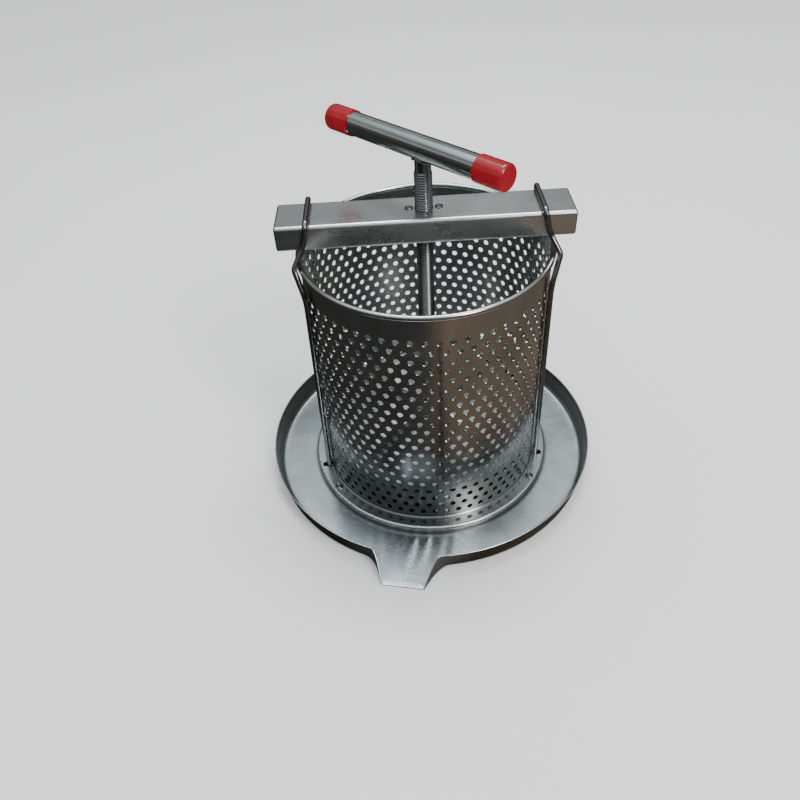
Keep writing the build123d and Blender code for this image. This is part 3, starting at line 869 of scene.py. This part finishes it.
def make_floor():
    """Pale floor, which polished steel reflects as the dark ground of a workshop."""
    half = 4.0
    corners = [(-half, -half, 0), (half, -half, 0), (half, half, 0), (-half, half, 0)]
    floor = new_mesh("studio_floor", corners, [(0, 1, 2, 3)])
    floor.location.z = -0.0002
    g = Graph("studio_floor")
    cloud = g.noise(g.place(), 3.0, 2.0, 0.5)
    pale = g.mix(g.remap(cloud, 0.3, 0.7, 0.0, 1.0), (0.86, 0.86, 0.86), (0.84, 0.84, 0.845))
    g.set(colour=pale, roughness=0.9)
    across = g.axes()[0]
    left = g.remap(across, -0.07, 0.10, 0.0, 1.0, smooth=True)
    right = g.remap(across, 0.20, 0.55, 0.0, 1.0, smooth=True)
    ground = g.mix(left, (0.024, 0.025, 0.024), (0.125, 0.094, 0.070))
    ground = g.mix(right, ground, (0.085, 0.078, 0.068))
    stain = g.remap(g.noise(g.place(), 9.0, 3.0, 0.6), 0.4, 0.6, 0.0, 0.35)
    ground = g.mix(stain, ground, (0.012, 0.011, 0.010))
    dark = g.node("ShaderNodeBsdfDiffuse", {"Color": ground})
    glossy = g.node("ShaderNodeLightPath").outputs["Is Glossy Ray"]
    blend = g.node("ShaderNodeMixShader", {0: glossy, 1: g.shader.outputs[0], 2: dark.outputs[0]})
    g.link(blend.outputs[0], g.output.inputs["Surface"])
    floor.data.materials.append(g.material)


def make_world():
    """Pale studio all round, in which polished steel reflects dark walls under a bright ceiling."""
    world = bpy.data.worlds.new("studio")
    bpy.context.scene.world = world
    world.use_nodes = True
    tree = world.node_tree
    tree.nodes.clear()
    output = tree.nodes.new("ShaderNodeOutputWorld")
    background = tree.nodes.new("ShaderNodeBackground")
    place = tree.nodes.new("ShaderNodeTexCoord")
    split = tree.nodes.new("ShaderNodeSeparateXYZ")
    ramp = tree.nodes.new("ShaderNodeValToRGB")
    stops = ramp.color_ramp.elements
    stops[0].position, stops[0].color = 0.0, (0.05, 0.045, 0.04, 1)
    stops[1].position, stops[1].color = 1.0, (1.25, 1.38, 1.47, 1)
    for position, colour in ((0.30, (0.06, 0.06, 0.055)), (0.39, (0.34, 0.36, 0.36)),
                             (0.50, (0.40, 0.43, 0.43)), (0.57, (0.15, 0.17, 0.165)),
                             (0.64, (0.16, 0.18, 0.175)), (0.71, (0.42, 0.475, 0.48)),
                             (0.80, (0.95, 1.07, 1.14))):
        stop = stops.new(position)
        stop.color = (*colour, 1)
    path = tree.nodes.new("ShaderNodeLightPath")
    blend = tree.nodes.new("ShaderNodeMix")
    blend.data_type = "RGBA"
    blend.inputs[6].default_value = (1.08, 1.09, 1.10, 1)
    tree.links.new(place.outputs["Generated"], split.inputs[0])
    tree.links.new(split.outputs[2], ramp.inputs[0])
    tree.links.new(path.outputs["Is Glossy Ray"], blend.inputs[0])
    tree.links.new(ramp.outputs[0], blend.inputs[7])
    tree.links.new(blend.outputs[2], background.inputs[0])
    tree.links.new(background.outputs[0], output.inputs[0])


def area_light(name, location, target, size, power, colour):
    """Rectangular light that faces the target."""
    light = bpy.data.lights.new(name, "AREA")
    light.shape = "RECTANGLE"
    light.size, light.size_y = size
    light.energy = power
    light.color = colour
    obj = bpy.data.objects.new(name, light)
    bpy.context.scene.collection.objects.link(obj)
    obj.location = location
    obj.rotation_euler = (Vector(target) - Vector(location)).to_track_quat("-Z", "Y").to_euler()
    return obj


def make_camera():
    """Camera that looks 42.5 degrees down from the front, a little to the left."""
    yaw, pitch, roll = radians(-0.50), radians(42.46), radians(-3.67)
    ahead = Vector((sin(yaw) * cos(pitch), cos(yaw) * cos(pitch), -sin(pitch)))
    level = Vector((cos(yaw), -sin(yaw), 0))
    upright = level.cross(ahead)
    right = cos(roll) * level + sin(roll) * upright
    up = -sin(roll) * level + cos(roll) * upright
    data = bpy.data.cameras.new("camera")
    data.sensor_width = 36.0
    data.lens = 32.62
    data.clip_start = 0.01
    camera = bpy.data.objects.new("camera", data)
    bpy.context.scene.collection.objects.link(camera)
    turn = Matrix((right, up, -ahead)).transposed().to_4x4()
    camera.matrix_world = Matrix.Translation((-0.0230, -0.5037, 0.5205)) @ turn
    bpy.context.scene.camera = camera


make_floor()
make_world()
centre = (0, 0, 0.12)
area_light("ceiling_panel", (0.1, 0.55, 1.7), centre, (0.9, 0.35), 16, (0.97, 0.99, 1.0))
area_light("front_window", (0.9, -1.3, 1.5), centre, (0.5, 0.9), 20, (1.0, 0.99, 0.97))
make_camera()
